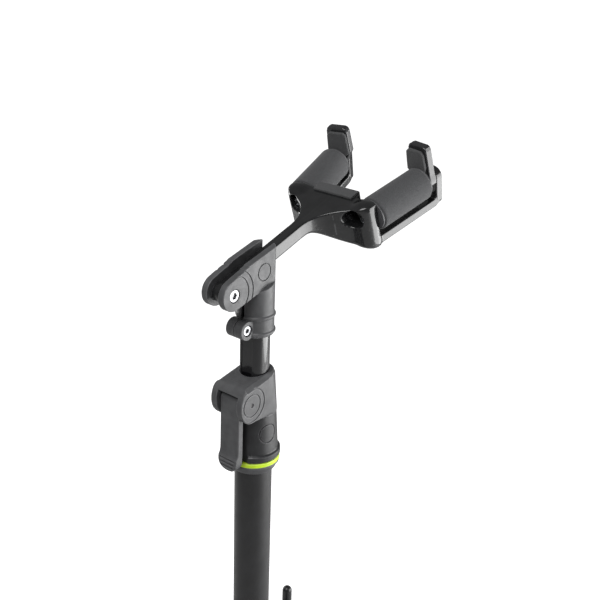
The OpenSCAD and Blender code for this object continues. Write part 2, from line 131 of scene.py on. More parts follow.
def block(p, low, high, edge=0.5):
    """A box with rounded edges."""
    low, high = np.array(low, float), np.array(high, float)
    q = np.abs(p - (low + high) / 2) - (high - low) / 2 + edge
    return length(np.maximum(q, 0)) + np.minimum(q.max(-1), 0) - edge


def disc(u, v, w, radius, low, high, edge=0.5):
    """A cylinder along w from low to high, with rounded edges."""
    return slab(np.hypot(u, v) - radius, w - (low + high) / 2, (high - low) / 2, edge)


def ring_groove(u, v, w, radius, face, depth=0.6, width=0.8):
    """A round groove in the face at w = face."""
    return slab(np.abs(np.hypot(u, v) - radius) - width / 2, w - face, depth, 0.12)


# ------------------------------------------------------------------ meshes


BLOCK = 4
NEAR = 1.15  # blocks closer to the surface than this many block widths are sampled in full
CHUNK = 4000


def sample(shape, low, high, step):
    """Distances on a grid: exact near the surface, and rough far from it."""
    low = np.array(low, float)
    blocks = np.ceil((np.array(high) - low) / (step * BLOCK)).astype(int) + 1
    corner = np.indices(blocks).reshape(3, -1).T
    rough = shape(low + step * (BLOCK * corner + (BLOCK - 1) / 2))
    values = rough.reshape(blocks).astype(np.float32)
    for axis in range(3):
        values = values.repeat(BLOCK, axis)
    near = corner[np.abs(rough) < NEAR * step * BLOCK]
    inner = np.indices((BLOCK,) * 3).reshape(3, -1).T
    for start in range(0, len(near), CHUNK):
        spots = (near[start:start + CHUNK, None] * BLOCK + inner[None]).reshape(-1, 3)
        values[tuple(spots.T)] = shape(low + step * spots)
    return low, values


def surface(low, values, step):
    """Vertices and quads of the zero surface, one vertex in each cell that it crosses."""
    inside = values < 0
    n = np.array(values.shape) - 1
    corners = np.array([(i, j, k) for i in (0, 1) for j in (0, 1) for k in (0, 1)])
    count = np.zeros(n, np.int8)
    for c in corners:
        count += inside[c[0]:c[0] + n[0], c[1]:c[1] + n[1], c[2]:c[2] + n[2]]
    cells = np.argwhere((count > 0) & (count < 8))
    index = np.full(n, -1, np.int64)
    index[tuple(cells.T)] = np.arange(len(cells))
    total, hits = np.zeros((len(cells), 3)), np.zeros(len(cells))
    for a in corners:
        for axis in range(3):
            if a[axis]:
                continue
            b = a.copy()
            b[axis] = 1
            va, vb = values[tuple((cells + a).T)], values[tuple((cells + b).T)]
            crossed = (va < 0) != (vb < 0)
            t = np.where(crossed, va / np.where(va == vb, 1, va - vb), 0)
            total += np.where(crossed[:, None], a + t[:, None] * (b - a), 0)
            hits += crossed
    points = low + step * (cells + total / hits[:, None])
    faces = []
    for axis in range(3):
        u, v = (axis + 1) % 3, (axis + 2) % 3
        first = np.take(inside, range(values.shape[axis] - 1), axis)
        second = np.take(inside, range(1, values.shape[axis]), axis)
        edges = np.argwhere(first != second)
        eu, ev = edges[:, u], edges[:, v]
        edges = edges[(eu > 0) & (ev > 0) & (eu < n[u]) & (ev < n[v])]
        du, dv = np.eye(3, dtype=int)[u], np.eye(3, dtype=int)[v]
        quad = np.stack([index[tuple((edges + s).T)] for s in (-du - dv, -dv, 0 * du, -du)], 1)
        flip = ~first[tuple(edges.T)]
        quad[flip] = quad[flip][:, ::-1]
        faces.append(quad)
    return points, np.concatenate(faces)


def slopes(shape, points, eps=0.02):
    """The direction in which the distance grows, at each point."""
    out = np.zeros_like(points)
    for axis in range(3):
        d = np.zeros(3)
        d[axis] = eps
        out[:, axis] = (shape(points + d) - shape(points - d)) / (2 * eps)
    return out


def new_object(name, points, faces):
    """A mesh object from points in millimetres in the pole's frame."""
    mesh = bpy.data.meshes.new(name)
    mesh.from_pydata(((points + pole) * MM).tolist(), [], faces)
    mesh.update()
    obj = bpy.data.objects.new(name, mesh)
    bpy.context.scene.collection.objects.link(obj)
    return obj


def carve(name, shape, low, high, step, finish, body, replaced=(), slot=None):
    """A piece whose surface is where shape(points) is zero."""
    points, faces = surface(*sample(shape, low, high, step), step)
    for _ in range(2):
        g = slopes(shape, points)
        move = shape(points) / np.maximum((g * g).sum(-1), 0.25)
        points = points - g * np.clip(move, -step / 2, step / 2)[:, None]
    normals = slopes(shape, points)
    normals /= np.maximum(length(normals), 1e-6)[:, None]
    obj = new_object(name, points, faces.tolist())
    obj.data.shade_smooth()
    obj.data.normals_split_custom_set_from_vertices(normals.tolist())
    return place(obj, finish, body, replaced, slot)


def place(obj, finish, body, replaced=(), slot=None):
    """Gives a piece its material and its body, and hides the CAD nodes that it stands for."""
    obj.data.materials.clear()
    obj.data.materials.append(finish)
    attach(obj, body)
    if replaced:
        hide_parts(*replaced)
    return obj


def lathe(name, profile, start, direction, finish, body, replaced=(), slot=None, turns=96):
    """A turned piece: profile is a closed loop of (distance along, radius) about the axis."""
    axis = np.array(direction, float) / np.linalg.norm(direction)
    side = np.cross(axis, (0, 0, 1) if abs(axis[2]) < 0.9 else (1, 0, 0))
    side /= np.linalg.norm(side)
    other = np.cross(axis, side)
    prof = np.array(profile, float)
    rings = []
    for t in np.linspace(0, 2 * math.pi, turns, endpoint=False):
        out = math.cos(t) * side + math.sin(t) * other
        rings.append(np.array(start) + prof[:, :1] * axis + prof[:, 1:] * out)
    points = np.concatenate(rings)
    count = len(prof)
    faces = []
    for i in range(turns):
        a, b = i * count, (i + 1) % turns * count
        for j in range(count):
            k = (j + 1) % count
            faces.append([a + j, a + k, b + k, b + j])
    obj = new_object(name, points, faces)
    bm = bmesh.new()
    bm.from_mesh(obj.data)
    bmesh.ops.remove_doubles(bm, verts=bm.verts, dist=1e-7)
    bmesh.ops.recalc_face_normals(bm, faces=bm.faces)
    bm.to_mesh(obj.data)
    bm.free()
    for poly in obj.data.polygons:
        poly.use_smooth = True
    return place(obj, finish, body, replaced, slot)


def section(corners, lip=0.5, gap=12.0):
    """A closed outline with round corners, and with its long sides divided so that wear stays at the ends."""
    pts = np.array(corners, float)
    rounded = []
    for i, here in enumerate(pts):
        before, after = pts[i - 1] - here, pts[(i + 1) % len(pts)] - here
        r = min(lip, np.linalg.norm(before) / 2.2, np.linalg.norm(after) / 2.2)
        start, end = here + before / np.linalg.norm(before) * r, here + after / np.linalg.norm(after) * r
        for t in np.linspace(0, 1, 5):
            rounded.append((1 - t) ** 2 * start + 2 * t * (1 - t) * here + t * t * end)
    out = []
    for a, b in zip(rounded, rounded[1:] + rounded[:1]):
        out.append(a)
        span_mm = np.linalg.norm(b - a)
        if span_mm > 1.2:
            near = 0.3 / span_mm
            inner = np.linspace(near, 1 - near, max(2, int(span_mm / gap) + 2))
            out += [a + (b - a) * t for t in inner]
    return out


def prism(name, outline, levels, finish, body, replaced, slot):
    """An outline in the XY plane, made solid between the first level and the last."""
    flat = np.array(outline, float)
    count = len(flat)
    points = np.concatenate([np.column_stack([flat, np.full(count, z)]) for z in levels])
    faces = [list(range(count))[::-1], list(range(len(points) - count, len(points)))]
    for i in range(len(levels) - 1):
        for j in range(count):
            k = (j + 1) % count
            faces.append([i * count + j, i * count + k, (i + 1) * count + k, (i + 1) * count + j])
    obj = new_object(name, points, faces)
    for poly in obj.data.polygons:
        poly.use_smooth = len(poly.vertices) == 4
    return place(obj, finish, body, replaced, slot)


def curve_through(points, steps=6):
    """A smooth line through the given points."""
    pts = np.array(points, float)
    padded = np.concatenate([[2 * pts[0] - pts[1]], pts, [2 * pts[-1] - pts[-2]]])
    out = []
    for i in range(1, len(padded) - 2):
        a, b, c, d = padded[i - 1:i + 3]
        for t in np.linspace(0, 1, steps, endpoint=False):
            square, cube = 2 * a - 5 * b + 4 * c - d, 3 * b - a - 3 * c + d
            out.append(0.5 * (2 * b + (c - a) * t + square * t**2 + cube * t**3))
    return out + [pts[-1]]


# ------------------------------------------------------------------ places


def yoke_frame(p):
    """Distance along the stem, across it, and above the line of the fold pivot."""
    x, z = p[:, 0] - pivot[0], p[:, 2] - pivot[2]
    c, s = math.cos(yoke_slope), math.sin(yoke_slope)
    return x * c + z * s, p[:, 1], z * c - x * s


def roller_frame(p, side):
    """Distance along a roller's axle, outward from it, and above it."""
    s, y, h = yoke_frame(p)
    a, b = s - roller_s, side * y - roller_y
    c, d = math.cos(roller_splay), math.sin(roller_splay)
    return a * c + b * d, b * c - a * d, h - roller_h


def from_roller(points, side):
    """The roller frame's points, in the pole's frame."""
    q = np.array(points, float).reshape(-1, 3)
    c, d = math.cos(roller_splay), math.sin(roller_splay)
    a, b = q[:, 0] * c - q[:, 1] * d, q[:, 0] * d + q[:, 1] * c
    s, y, h = a + roller_s, side * (b + roller_y), q[:, 2] + roller_h
    c, d = math.cos(yoke_slope), math.sin(yoke_slope)
    return np.stack([pivot[0] + s * c - h * d, y, pivot[2] + s * d + h * c], -1)


def turned(p, place_at, degrees):
    """Distances along and above a line through a point that rises by some degrees, in the XZ plane."""
    x, z = p[:, 0] - place_at[0], p[:, 2] - place_at[2]
    c, s = math.cos(math.radians(degrees)), math.sin(math.radians(degrees))
    return x * c + z * s, z * c - x * s


# ------------------------------------------------------------------ the yoke

STEM_Y = 4.1
YOKE_TOP = 5.6
AXLE_HOLE, PIVOT_HOLE = 3.03, 3.06
SKIRT_START, SKIRT_RUN, SKIRT_TOP, SKIRT_DROP = 76, 34, -4.2, 21.6
LUG_HALF, LUG_TOP, LUG_LENGTH, LUG_RISE = 5.2, 11.6, 10, 0.32
POCKET_R, POCKET_W, POCKET_N, HEAD_SEAT = 6.3, -2.7, 3.1, -4.2
FAN = [
    (68, 4.1), (72, 4.1), (77, 4.6), (82, 6), (87, 8.6), (91, 11.8), (95, 16), (98.5, 21), (101, 26.5),
    (103.4, 30.4), (107, 33), (110, 34),
]
FRONT = [(112.6, 34.2), (114.4, 24.2), (115.6, 17.4), (118.6, 17.2), (118.6, -1), (0, -1), (0, 4.1)]
HOLLOW = [
    (90, 2.5), (93, 6), (97, 10.5), (100, 13), (110.6, 14), (113, 13.5), (115, 13), (115, -1), (90, -1),
]
ARM_LOW, ARM_TOP, ARM_END, ARM_HALF, UPRIGHT = -22, -15.8, 62.2, 4.2, 6


def arm_outline():
    """A roller's arm from the side: along below the roller, and up at its far end."""
    bend, inner = 8, 2.6
    outer = [
        (ARM_END - bend + bend * math.cos(a), ARM_LOW + bend + bend * math.sin(a))
        for a in np.linspace(-math.pi / 2, 0, 10)
    ]
    corner = [
        (ARM_END - UPRIGHT - inner + inner * math.cos(a), ARM_TOP + inner + inner * math.sin(a))
        for a in np.linspace(0, -math.pi / 2, 6)
    ]
    start = [(-6, ARM_LOW + 2.6), (1, ARM_LOW)]
    far_end = [(ARM_END, -6), (ARM_END - UPRIGHT, -6)]
    return start + outer + far_end + corner + [(-6, ARM_TOP)]


def yoke_shape(p):
    """The casting: stem, fan with a deep skirt, two lugs, two arms with uprights, and the screw pockets."""
    s, y, h = yoke_frame(p)
    side = np.where(y < 0, -1, 1)
    d, w, n = roller_frame(p, side)
    wide = np.abs(y)
    depth = YOKE_TOP - h
    plan = polygon(s, wide, curve_through(FAN) + FRONT) + 0.03 * np.clip(depth - 8, 0, 30)
    t = np.clip((s - SKIRT_START) / SKIRT_RUN, 0, 1)
    skirt_low = SKIRT_TOP - SKIRT_DROP * t * t * (3 - 2 * t)
    slope = SKIRT_DROP * 6 * t * (1 - t) / SKIRT_RUN
    under = (skirt_low - h) / np.sqrt(1 + slope * slope)
    body = common(common(plan, under, 2.2), h - YOKE_TOP, 1.4)
    hollow = np.maximum(polygon(s, wide, HOLLOW), h - 1.2)
    body = cut(body, hollow, 1.6)
    body = cut(body, block(np.stack([s, wide, h], -1), (101.5, -1, -60), (140, 17, -9), 3), 2)
    lug_low = ARM_LOW + 0.4
    lug = block(np.stack([w, n, d], -1), (-LUG_HALF, lug_low, -LUG_LENGTH), (LUG_HALF, LUG_TOP, 0), 4.4)
    lug = common(lug, lug_low - LUG_RISE * d - n, 2)
    body = blend_union(body, lug, 6)
    arm = slab(polygon(d, n, arm_outline()), w, ARM_HALF, 1.1)
    rise = np.clip((n + 18) / 18, 0, 1)
    upright = np.hypot(w, n + 18 - 18 * rise) - ARM_HALF - 2 * rise
    body = blend_union(body, np.minimum(arm, slab(upright, d - ARM_END + UPRIGHT / 2, UPRIGHT / 2, 1)), 3)
    pocket = disc(w - POCKET_W, n - POCKET_N, d, POCKET_R, -60, HEAD_SEAT, 1.5)
    body = cut(body, pocket, 0.9)
    body = np.minimum(body, disc(s, h, y, 6.4, -STEM_Y, STEM_Y, 0.4))
    body = cut(body, disc(w, n, d, AXLE_HOLE, -20, 80, 0.1), 0.3)
    return cut(body, disc(s, h, y, PIVOT_HOLE, -20, 20, 0.1), 0.3)


def strip_shape(p):
    """The padded strip along the yoke's front edge."""
    s, y, h = yoke_frame(p)
    side = [
        (111.2, 5.65), (111.2, 6.9), (111.6, 7.3), (119.8, 7.3), (120.8, 6.3), (120.8, 0.6), (118.75, 0.6),
        (118.75, 5.65),
    ]
    return slab(polygon(s, h, side), y, 16, 0.35)


def roller_foam(side, name, body, finish):
    """A foam sleeve with soft ends."""
    length_mm, inner, outer, lip = 44.6, 7.9, 11.7, 1.3
    ends = [
        (length_mm - lip + lip * math.cos(a), outer - lip + lip * math.sin(a))
        for a in np.linspace(math.pi / 2, 0, 6)
    ]
    starts = [(length_mm - x, r) for x, r in reversed(ends)]
    barrel = [(x, outer) for x in np.linspace(lip + 1.5, length_mm - lip - 1.5, 26)]
    profile = starts + barrel + ends + [(length_mm, inner), (0, inner)]
    end_gap = 1.8
    start = from_roller([(end_gap, 0, 0)], side)[0]
    far = from_roller([(end_gap + length_mm, 0, 0)], side)[0]
    replaced = (name_of("roller_foam", side),)
    return lathe(name, profile, start, far - start, finish, body, replaced, "foam_grey")


def name_of(stem, side):
    return stem + ("_left" if side > 0 else "_right")


# ------------------------------------------------------------------ the head

CHEEK_Y, SLOT_Y, CHEEK_R, HEAD_R = 9.43, 4.75, 9.94, 12.2
CHEEK_SLOPE, CHEEK_TOP, HEAD_BORE = 15, 12.17, 9.8
PINCH = np.array([-14.2, 0, head_bottom + 6.4])


def head_shape(p):
    """The head: two cheeks with stepped tops, a beaded sleeve, and a pinch boss split by a slit."""
    x, y, z = p.T
    rho = np.hypot(x, y)
    u, v = turned(p, pivot, CHEEK_SLOPE)
    s, _, h = yoke_frame(p)
    side = [
        (0, -CHEEK_R), (60, -CHEEK_R), (60, CHEEK_TOP), (16.4, CHEEK_TOP), (16.1, 11.75), (12.6, 11.45),
        (12.2, 10.95), (8.5, 10.75), (4, 10.4), (0, CHEEK_R),
    ]
    tip = np.hypot(u, v) - CHEEK_R
    cheeks = slab(np.minimum(tip, polygon(u, v, side)), y, CHEEK_Y, 0.45)
    cheeks = common(cheeks, np.minimum(rho - HEAD_R, x), 0.7)
    sleeve = common(slab(rho - HEAD_R, z - head_bottom - 30, 30, 0.7), v + CHEEK_R - 0.6, 0.5)
    body = blend_union(cheeks, sleeve, 0.4)
    for bead in (2.2, 13.2):
        body = blend_union(body, np.hypot(rho - 11.75, z - head_bottom - bead) - 1.35, 0.5)
    a, b = x - PINCH[0], z - PINCH[2]
    body = blend_union(body, disc(a, b, y, 6.3, -6.8, 6.8, 0.5), 0.6)
    gap = np.minimum(np.maximum(-4.1 - h, -s), np.maximum(x + 12.5, pivot[2] - 12 - z))
    body = cut(body, np.maximum(np.abs(y) - SLOT_Y, gap), 0.35)
    body = cut(body, np.maximum(rho - HEAD_BORE, z - pivot[2] + 4), 0.3)
    body = cut(body, block(p, (-40, -0.3, head_bottom - 5), (-6, 0.3, PINCH[2] + 8), 0.05), 0.2)
    body = cut(body, block(p, (-40, -1.3, PINCH[2] + 6.2), (-6, 1.3, head_bottom + 26), 0.2), 0.4)
    body = cut(body, disc(a, b, y, 3.75, -20, -3.7, 0.2), 0.35)
    body = cut(body, disc(a, b, y, 3.9, 4.2, 20, 0.2), 0.35)
    px, pz = x - pivot[0], z - pivot[2]
    body = cut(body, disc(px, pz, y, 4.4, -20, -CHEEK_Y + 2.4, 0.2), 0.35)
    body = cut(body, disc(px, pz, y, 5.4, CHEEK_Y - 2.6, 20, 0.2), 0.35)
    body = cut(body, disc(px, pz, y, AXLE_HOLE, -20, 20, 0.1), 0.2)
    wide = np.abs(y)
    for r in (12.3, 16.4):
        arc = np.maximum(ring_groove(px, pz, wide, r, CHEEK_Y), 2 - px)
        body = cut(body, arc, 0.15)
    return cut(body, ring_groove(x + 2.6, z - pivot[2] - 8.5, wide, 5.6, CHEEK_Y, 0.5, 0.6), 0.15)


# ------------------------------------------------------------------ the clamp

CLAMP_Y, CLAMP_R, LEVER_Y, TUBE_BORE = 13.6, 13, 8.5, 12.74
HOOD_SLOPE = 0.186
CHEEK_FRONT, HOOD_TOP = 9.8, 16.4
CONE = [
    (0, 0), (16.8, 0), (18, 1.2), (18, 4.7), (17.4, 5.3), (16.7, 5.5), (16.3, 6.2), (14.7, 38), (12.7, 63.2),
    (0, 63.2),
]


def clamp_shape(p):
    """The clamp: a cone-shaped sleeve, with a hood and two round cheeks that hold the lever."""
    x, y, z = p.T
    rho, wide = np.hypot(x, y), np.abs(y)
    lx, lz = x - lever_pivot[0], z - lever_pivot[2]
    high = z - flange_bottom
    cone = polygon(rho, high, CONE)
    cone = common(cone, np.where(lz > -13, wide - CLAMP_Y, -1.5), 0.5)
    side = [(-0.5, CLAMP_R), (18.6, 16.6), (29.6, 14), (29.6, -13), (8, -13), (0, -CLAMP_R)]
    oval = np.hypot(np.where(lx < 0, lx * CLAMP_R / CHEEK_FRONT, lx), lz) - CLAMP_R
    outline = np.minimum(oval, polygon(lx, lz, side))
    cheeks = slab(outline, y, CLAMP_Y, 0.5)
    cone_r = np.interp(lz, [-30, 40], [16.2, 11.9])
    cheeks = common(cheeks, np.minimum(rho - cone_r, x), 0.8)
    body = blend_union(cone, cheeks, 0.6)
    above = (lz - CLAMP_R) * math.cos(HOOD_SLOPE) - (lx + 0.5) * math.sin(HOOD_SLOPE)
    body = common(common(body, above, 0.8), lz - HOOD_TOP, 1.2)
    bevel = (wide - CLAMP_Y + above + 2.7) / math.sqrt(2)
    body = common(body, np.where(lx > -4, bevel, bevel - 0.5 * (-4 - lx)), 0.3)
    hollow = np.minimum(np.hypot(lx, lz) - 6.8, np.maximum(np.maximum(lx, lz - 6.9), -20 - lz))
    hollow = np.minimum(hollow, np.maximum(lx - 2.2, lz))
    body = cut(body, slab(hollow, y, LEVER_Y + 0.3, 0.3), 0.5)
    for r in (7.7, 11.7):
        body = cut(body, ring_groove(lx, lz, wide, r, CLAMP_Y, 0.6, 0.8), 0.2)
    body = cut(body, disc(lx, lz, wide, 1.5, CLAMP_Y - 0.7, 20, 0.3), 0.3)
    angle = np.arctan2(y, x) + math.radians(100)
    badge = np.abs(np.hypot(angle * 15.4, z - flange_bottom - 20.6) - 6.4) - 0.35
    body = cut(body, np.maximum(badge, polygon_skin(rho, high)), 0.15)
    body = cut(body, rho - 9.85, 0.3)
    return cut(body, np.maximum(rho - TUBE_BORE, high - 18), 0.3)


def polygon_skin(rho, high):
    """Below zero within half a millimetre of the clamp's cone and outside it."""
    cone_r = np.interp(high, [6.2, 38, 63], [16.3, 14.7, 12.7])
    return cone_r - 0.5 - rho


LEVER_FACE = [
    (-2.5, 4.7), (-4.5, 4.1), (-5.9, 2.4), (-6.3, 0), (-6.5, -12), (-6.7, -24), (-6.9, -35), (-7.6, -38.2),
    (-8.7, -40),
]
LEVER_GRIP = [(-8.9, -44), (-8.9, -47), (-8.3, -49.6), (-7.2, -50.6)]
LEVER_BACK = [(-3.6, -50.5), (-2.7, -44), (-2.5, -37), (-2.3, -12), (-1.9, -6), (0, 0)]


def lever_shape(p):
    """The lever: an eye, a long bent face and a rounded grip with three grooves."""
    lx, y, lz = p[:, 0] - lever_pivot[0], p[:, 1], p[:, 2] - lever_pivot[2]
    outline = polygon(lx, lz, curve_through(LEVER_FACE, 4) + curve_through(LEVER_GRIP, 4) + LEVER_BACK)
    outline = np.minimum(outline, np.hypot(lx, lz) - 4.9)
    body = slab(outline, y, LEVER_Y, 0.7)
    grip_z = -41.8
    low = np.where(lz > grip_z, np.abs(y) - LEVER_Y, np.hypot(y, lz - grip_z) - LEVER_Y)
    body = common(body, low, 1)
    q = np.stack([lx, y, lz], -1)
    for i in range(3):
        z0, reach = -41.3 - 2.7 * i, 6.6 - 0.6 * i
        groove = block(q, (-12, -reach, z0 - 0.65), (-8, reach, z0 + 0.65), 0.3)
        body = cut(body, groove, 0.3)
    return cut(body, disc(lx, lz, y, PIVOT_HOLE, -20, 20, 0.1), 0.2)


# ------------------------------------------------------------------ end tabs and their pads

TAB = [
    (6.4, -2), (6.2, 8), (5.4, 23), (4.6, 25.4), (2.8, 26.4), (-8.4, 26.4), (-10.4, 25.5), (-11.4, 23.3),
    (-12, 7.5), (-6.2, -2.6),
]
PAD = [(5.2, 5), (3.8, 21), (1.8, 23.4), (-9, 23.4), (-11, 21.4), (-11.8, 7.4), (-7, 4.4)]


def tab_shape(side):
    def shape(p):
        d, w, n = roller_frame(p, side)
        plate = slab(polygon(w, n, TAB) + 0.2, d - 53, 2.8, 0.9)
        plate = blend_union(plate, disc(w, n, d, 6.6, 50.2, 55.8, 0.6), 1.5)
        return cut(plate, disc(w, n, d, PIVOT_HOLE, 40, 70, 0.1), 0.3)
    return shape


def pad_shape(side):
    def shape(p):
        d, w, n = roller_frame(p, side)
        crown = 0.5 * np.exp(-(((w + 4) / 7) ** 2 + ((n - 14) / 8) ** 2))
        pad = slab(polygon(w, n, PAD), d - 48.85 + crown / 2, 1.25 + crown / 2, 0.8)
        return cut(pad, np.hypot(w, n) - 4.6, 0.4)
    return shape


# ------------------------------------------------------------------ screws


def axle_shape(side):
    """The axle bolt: shank, domed head and a hex socket."""
    def shape(p):
        d, w, n = roller_frame(p, side)
        shank = disc(w, n, d, 3, -4.3, ARM_END - 0.4, 0.4)
        dome = np.maximum(np.sqrt(w * w + n * n + (d + 2.6) ** 2) - 5.9, d + 4.1)
        dome = common(dome, np.hypot(w, n) - 4.5, 0.3)
        angle = np.arctan2(n, w)
        six = np.hypot(w, n) * np.cos((angle % (math.pi / 3)) - math.pi / 6) - 1.9
        return cut(np.minimum(shank, dome), np.maximum(six, d + 6.8), 0.15)
    return shape


def bolt_shape(centre, head_face, far_face, shank_r, head_r, socket_r):
    """A bolt along +Y with its head at the low end, and a hex socket in the head."""
    def shape(p):
        x, y, z = (p - np.array(centre)).T
        shank = disc(x, z, y, shank_r, head_face + 1, far_face, 0.3)
        head = disc(x, z, y, head_r, head_face, head_face + 2.1, 0.45)
        angle = np.arctan2(z, x)
        six = np.hypot(x, z) * np.cos((angle % (math.pi / 3)) - math.pi / 6) - socket_r
        return cut(np.minimum(shank, head), np.maximum(six, y - head_face - 1.4), 0.12)
    return shape


# ------------------------------------------------------------------ tubes, legs and lower rest

MAST_R, CHANNEL_Y, CHANNEL_X = 9.75, 5, -7.4
LEGS = ("left", "right", "rear")
LEG_SLOPE = math.radians(35)
LEG_R, LEG_WALL, FOOT_CENTRE, FOOT_R, FOOT_CUP_R, FOOT_CUP = 8, 1.5, 7, 11, 10.4, 34
HUB_R, EAR_R, EAR_MIDDLE, EAR_HALF = 20, 8.5, 8.8, 2.5
REST_R, REST_HALF, KNOB_R, KNOB_LOBES = 18, 13, 11, 6
FORK_ROOT, FORK_SPREAD, FORK_LEN, FORK_R, FORK_RISE = (20, 9), math.radians(27), 92, 4, 26


def mast_outline():
    """The upper tube's section: round, with a shallow channel along its front."""
    edge = math.pi - math.asin(CHANNEL_Y / MAST_R)
    arc = [(MAST_R * math.cos(a), MAST_R * math.sin(a)) for a in np.linspace(-edge, edge, 72)]
    lip = 0.35
    walls = []
    for side in (1, -1):
        x, y = arc[-1][0], side * CHANNEL_Y
        corner = [(x + lip * a, y - side * lip * b) for a, b in ((0.3, 0.1), (0.8, 0.6), (1.2, 0.7))]
        foot = [(CHANNEL_X, y - side * lip * b) for b in (0.8, 2)]
        walls += (corner + foot) if side > 0 else (corner + foot)[::-1]
    return arc + walls


def leg_place(which):
    """A leg's pin, how far it stands from the pole, its turn about the pole, and the leg's length."""
    at = joint_place("leg_fold_" + which)
    reach, turn = math.hypot(at[0], at[1]), math.atan2(at[1], at[0])
    return at, reach, turn, (at[2] - FOOT_CENTRE) / math.sin(LEG_SLOPE)


def leg_frame(p, which):
    """Distance along a leg from its pin, across it, and above it."""
    at, reach, turn, _ = leg_place(which)
    x = p[:, 0] * math.cos(turn) + p[:, 1] * math.sin(turn) - reach
    y = p[:, 1] * math.cos(turn) - p[:, 0] * math.sin(turn)
    z = p[:, 2] - at[2]
    c, s = math.cos(LEG_SLOPE), math.sin(LEG_SLOPE)
    return x * c - z * s, y, x * s + z * c


def leg_direction(which):
    _, _, turn, _ = leg_place(which)
    c = math.cos(LEG_SLOPE)
    return np.array([c * math.cos(turn), c * math.sin(turn), -math.sin(LEG_SLOPE)])


def hub_shape(p):
    """The hub: a barrel on the lower tube, with a pair of ears for each leg."""
    rho = np.hypot(p[:, 0], p[:, 1])
    high = p[:, 2] - leg_place("rear")[0][2]
    body = slab(rho - HUB_R, high - 8, 18, 1.4)
    body = common(body, (rho - HUB_R + high - 22) / math.sqrt(2), 1)
    for which in LEGS:
        _, reach, turn, _ = leg_place(which)
        out = p[:, 0] * math.cos(turn) + p[:, 1] * math.sin(turn)
        across = np.abs(p[:, 1] * math.cos(turn) - p[:, 0] * math.sin(turn))
        web = np.maximum(np.abs(high) - EAR_R, np.maximum(10 - out, out - reach))
        ear = slab(np.minimum(np.hypot(out - reach, high) - EAR_R, web), across - EAR_MIDDLE, EAR_HALF, 0.7)
        body = blend_union(body, ear, 2)
        body = cut(body, disc(out - reach, high, across, AXLE_HOLE, -1, 14, 0.1), 0.3)
    body = cut(body, np.maximum(rho - TUBE_BORE, -6 - high), 0.4)
    return cut(body, rho - 8.1, 0.4)


def knuckle_shape(which):
    """A leg's hinge end: an eye, a neck and a collar that the tube butts against."""
    def shape(p):
        d, w, n = leg_frame(p, which)
        eye = slab(np.hypot(d, n) - 8.2, w, 6, 0.7)
        body = blend_union(eye, block(np.stack([d, w, n], -1), (0, -6, -6.5), (16, 6, 6.5), 1), 1)
        body = blend_union(body, disc(w, n, d, 9.4, 12, 23.9, 1), 2)
        return cut(body, disc(d, n, w, 3.05, -20, 20, 0.1), 0.3)
    return shape


def foot_shape(which):
    """A rubber foot: a ribbed cup on the leg's end, flat where it meets the floor."""
    def shape(p):
        d, w, n = leg_frame(p, which)
        leg_len = leg_place(which)[3]
        rho = np.hypot(w, n)
        ball = np.sqrt((d - leg_len) ** 2 + rho * rho) - FOOT_R
        body = blend_union(disc(w, n, d, FOOT_CUP_R, leg_len - FOOT_CUP, leg_len, 1), ball, 1.5)
        for back in (28, 24, 20, 16):
            body = cut(body, np.hypot(rho - 10.7, d - leg_len + back) - 0.8, 0.4)
        body = cut(body, disc(w, n, d, LEG_R + 0.05, leg_len - 40, leg_len - 7.9, 0.1), 0.3)
        return common(body, -p[:, 2], 0.8)
    return shape


def rest_height():
    """The height of the lower rest above the floor."""
    return joint_place("rest_knob_turn")[2]


def fork_frame(p, side):
    """Distance along a tine of the lower rest, outward from it, and above it."""
    x, y = p[:, 0] - FORK_ROOT[0], side * p[:, 1] - FORK_ROOT[1]
    c, s = math.cos(FORK_SPREAD), math.sin(FORK_SPREAD)
    return x * c + y * s, y * c - x * s, p[:, 2] - rest_height()


def rest_collar_shape(p):
    """The lower rest's collar: a ring on the pole, a block for the fork and a boss for the knob."""
    x, y, z = p[:, 0], p[:, 1], p[:, 2] - rest_height()
    body = slab(np.hypot(x, y) - REST_R, z, REST_HALF, 1.4)
    body = blend_union(body, block(np.stack([x, y, z], -1), (8, -15, -9), (24, 15, 9), 2.5), 2)
    body = blend_union(body, disc(y, z, x, 8, -26, -12, 0.9), 2)
    return cut(body, np.hypot(x, y) - 12.78, 0.5)


def rest_fork_shape(p):
    """The two tines: steel rods bent up at their ends."""
    body = None
    for side in (1, -1):
        d, w, n = fork_frame(p, side)
        along = np.clip(d, -3.5 + FORK_R, FORK_LEN)
        rod = np.sqrt((d - along) ** 2 + w * w + n * n) - FORK_R
        up = np.clip(n, 0, FORK_RISE)
        tip = np.sqrt((d - FORK_LEN) ** 2 + w * w + (n - up) ** 2) - FORK_R
        tine = blend_union(rod, tip, 2.5)
        body = tine if body is None else np.minimum(body, tine)
    return body


def rest_knob_shape(p):
    """A six-lobed clamping knob with a dished face."""
    x, y, z = p[:, 0], p[:, 1], p[:, 2] - rest_height()
    body = np.minimum(disc(y, z, x, KNOB_R, -44, -30, 1.2), disc(y, z, x, 7, -31, -26.6, 0.5))
    for i in range(KNOB_LOBES):
        a = math.radians(360 / KNOB_LOBES * i + 5)
        lobe = disc(y + 9.8 * math.sin(a), z - 9.8 * math.cos(a), x, 3.6, -43.5, -30.5, 1.1)
        body = blend_union(body, lobe, 1.2)
    body = cut(body, disc(y, z, x, 6.5, -60, -43.2, 0.3), 0.5)
    return cut(body, disc(y, z, x, AXLE_HOLE, -41, -20, 0.1), 0.2)


# ------------------------------------------------------------------ materials


